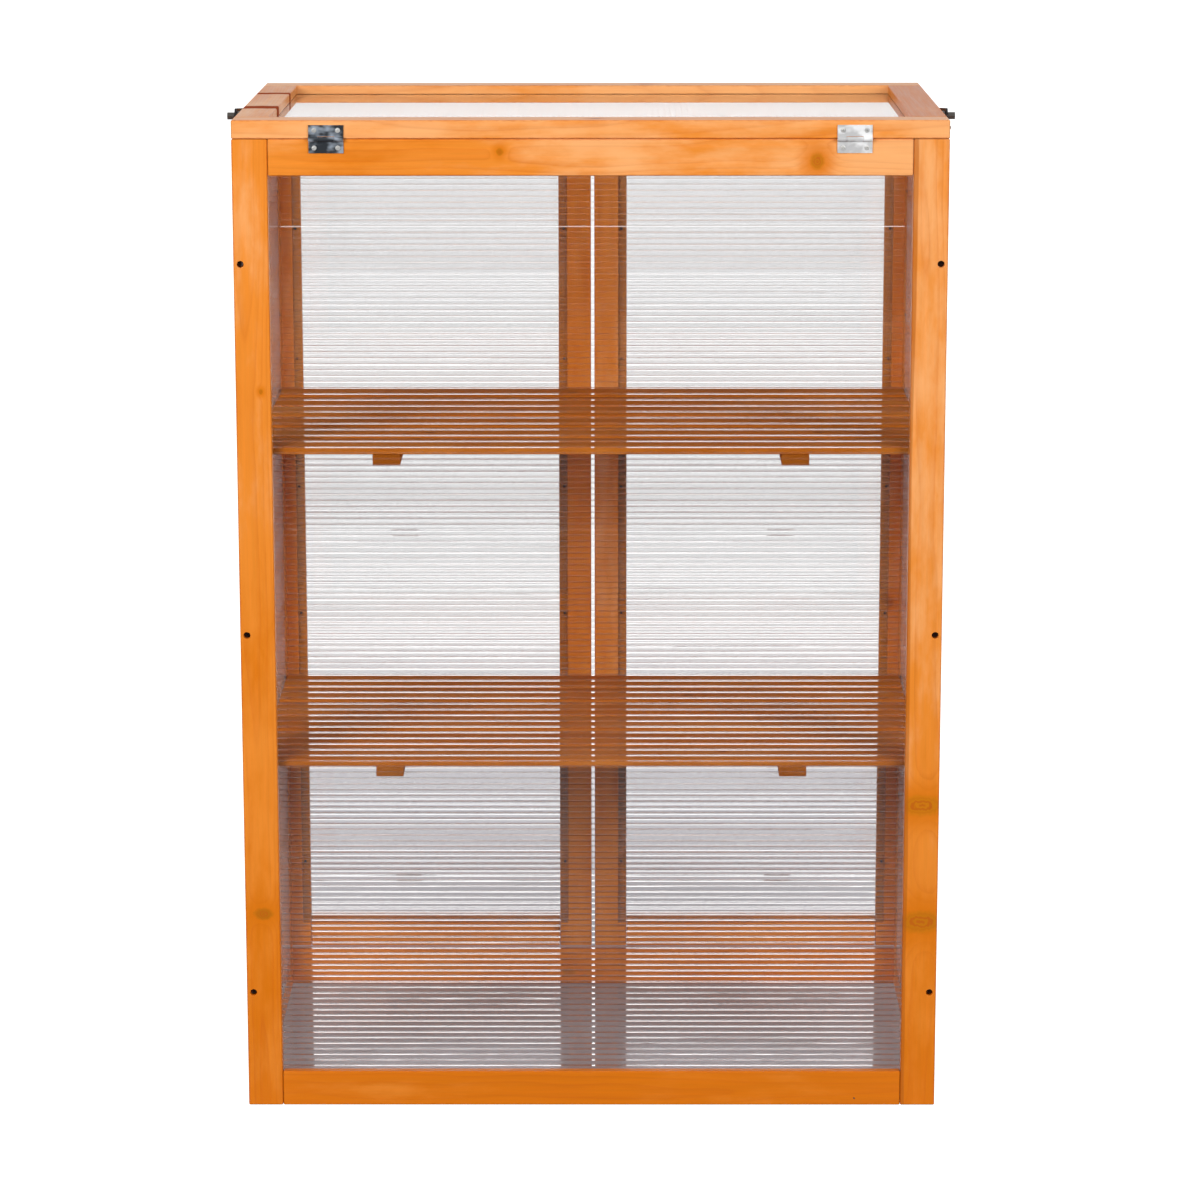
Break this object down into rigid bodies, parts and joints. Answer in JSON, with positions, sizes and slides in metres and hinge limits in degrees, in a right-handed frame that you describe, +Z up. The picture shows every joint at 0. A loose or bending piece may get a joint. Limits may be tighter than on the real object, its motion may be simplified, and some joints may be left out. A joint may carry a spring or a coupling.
{
  "type": "cold frame",
  "caption": "Tall wooden cold frame with twin-wall sheet panels, hinged lid held by side stays, double doors and slatted lift-out shelves.",
  "frame": {"origin": "on the ground under the middle of the cabinet", "axes": "+Z up; -Y is the back, which carries the lid's hinges; +Y is the front, with the doors; -X is left and +X right as seen from behind"},
  "size_m": [0.793, 0.4812, 1.09],
  "materials": {
    "varnished_fir": "honey-orange clear varnish, satin",
    "twin_wall_sheet": "clear 4 mm twin-wall polycarbonate",
    "zinc_plate": "bright zinc plating",
    "black_steel": "black powder coat"
  },
  "bodies": {
    "cabinet": {"back_bottom_rail": "varnished_fir", "back_left_stile": "varnished_fir", "back_right_stile": "varnished_fir", "back_sheet": "twin_wall_sheet", "back_top_rail": "varnished_fir", "front_head_rail": "varnished_fir", "front_sill_rail": "varnished_fir", "left_door_lower_hinge_cabinet_leaf": "zinc_plate", "left_door_upper_hinge_cabinet_leaf": "zinc_plate", "left_side_bottom_rail": "varnished_fir", "left_side_front_stile": "varnished_fir", "left_side_rear_stile": "varnished_fir", "left_side_sheet": "twin_wall_sheet", "left_side_top_rail": "varnished_fir", "left_stay_stud": "zinc_plate", "lid_left_hinge_cabinet_leaf": "zinc_plate", "lid_right_hinge_cabinet_leaf": "zinc_plate", "lower_shelf_left_cleat": "varnished_fir", "lower_shelf_right_cleat": "varnished_fir", "right_door_lower_hinge_cabinet_leaf": "zinc_plate", "right_door_upper_hinge_cabinet_leaf": "zinc_plate", "right_side_bottom_rail": "varnished_fir", "right_side_front_stile": "varnished_fir", "right_side_rear_stile": "varnished_fir", "right_side_sheet": "twin_wall_sheet", "right_side_top_rail": "varnished_fir", "right_stay_stud": "zinc_plate", "upper_shelf_left_cleat": "varnished_fir", "upper_shelf_right_cleat": "varnished_fir"},
    "lid": {"left_stay_bolt": "zinc_plate", "lid_front_rail": "varnished_fir", "lid_left_hinge_lid_leaf": "zinc_plate", "lid_left_hinge_pin": "zinc_plate", "lid_left_rail": "varnished_fir", "lid_rear_rail": "varnished_fir", "lid_right_hinge_lid_leaf": "zinc_plate", "lid_right_hinge_pin": "zinc_plate", "lid_right_rail": "varnished_fir", "lid_sheet": "twin_wall_sheet", "right_stay_bolt": "zinc_plate"},
    "left_stay": {"left_stay_arm": "black_steel"},
    "right_stay": {"right_stay_arm": "black_steel"},
    "left_door": {"left_door_bottom_rail": "varnished_fir", "left_door_hinge_stile": "varnished_fir", "left_door_lower_hinge_door_leaf": "zinc_plate", "left_door_meeting_stile": "varnished_fir", "left_door_sheet": "twin_wall_sheet", "left_door_top_rail": "varnished_fir", "left_door_upper_hinge_door_leaf": "zinc_plate"},
    "right_door": {"door_turn_button_screw": "zinc_plate", "right_door_bottom_rail": "varnished_fir", "right_door_hinge_stile": "varnished_fir", "right_door_lower_hinge_door_leaf": "zinc_plate", "right_door_meeting_stile": "varnished_fir", "right_door_sheet": "twin_wall_sheet", "right_door_top_rail": "varnished_fir", "right_door_upper_hinge_door_leaf": "zinc_plate"},
    "turn_button": {"door_turn_button": "zinc_plate"},
    "lower_shelf": {"lower_shelf": "varnished_fir"},
    "upper_shelf": {"upper_shelf": "varnished_fir"}
  },
  "joints": [
    {"name": "lid_hinge", "type": "hinge", "parent": "cabinet", "child": "lid", "pos_m": [0, -0.238, 1.07015], "axis": [1, 0, 0], "range_deg": [0, 70]},
    {"name": "left_stay_pivot", "type": "hinge", "parent": "lid", "child": "left_stay", "pos_m": [-0.386, -0.09, 1.0813], "axis": [-1, 0, 0], "range_deg": [0, 96.8]},
    {"name": "right_stay_pivot", "type": "hinge", "parent": "lid", "child": "right_stay", "pos_m": [0.386, -0.09, 1.0813], "axis": [-1, 0, 0], "range_deg": [0, 96.8]},
    {"name": "left_door_hinge", "type": "hinge", "parent": "cabinet", "child": "left_door", "pos_m": [-0.383, 0.22015, 0.535], "axis": [0, 0, 1], "range_deg": [0, 180]},
    {"name": "right_door_hinge", "type": "hinge", "parent": "cabinet", "child": "right_door", "pos_m": [0.383, 0.22015, 0.535], "axis": [0, 0, -1], "range_deg": [0, 180]},
    {"name": "turn_button_pivot", "type": "hinge", "parent": "right_door", "child": "turn_button", "pos_m": [0.021, 0.235, 0.54], "axis": [0, 1, 0], "range_deg": [0, 90]},
    {"name": "lower_shelf_lift", "type": "slide", "parent": "cabinet", "child": "lower_shelf", "axis": [0, 0, 1], "range_m": [0, 0.12]},
    {"name": "upper_shelf_lift", "type": "slide", "parent": "cabinet", "child": "upper_shelf", "axis": [0, 0, 1], "range_m": [0, 0.12]}
  ]
}
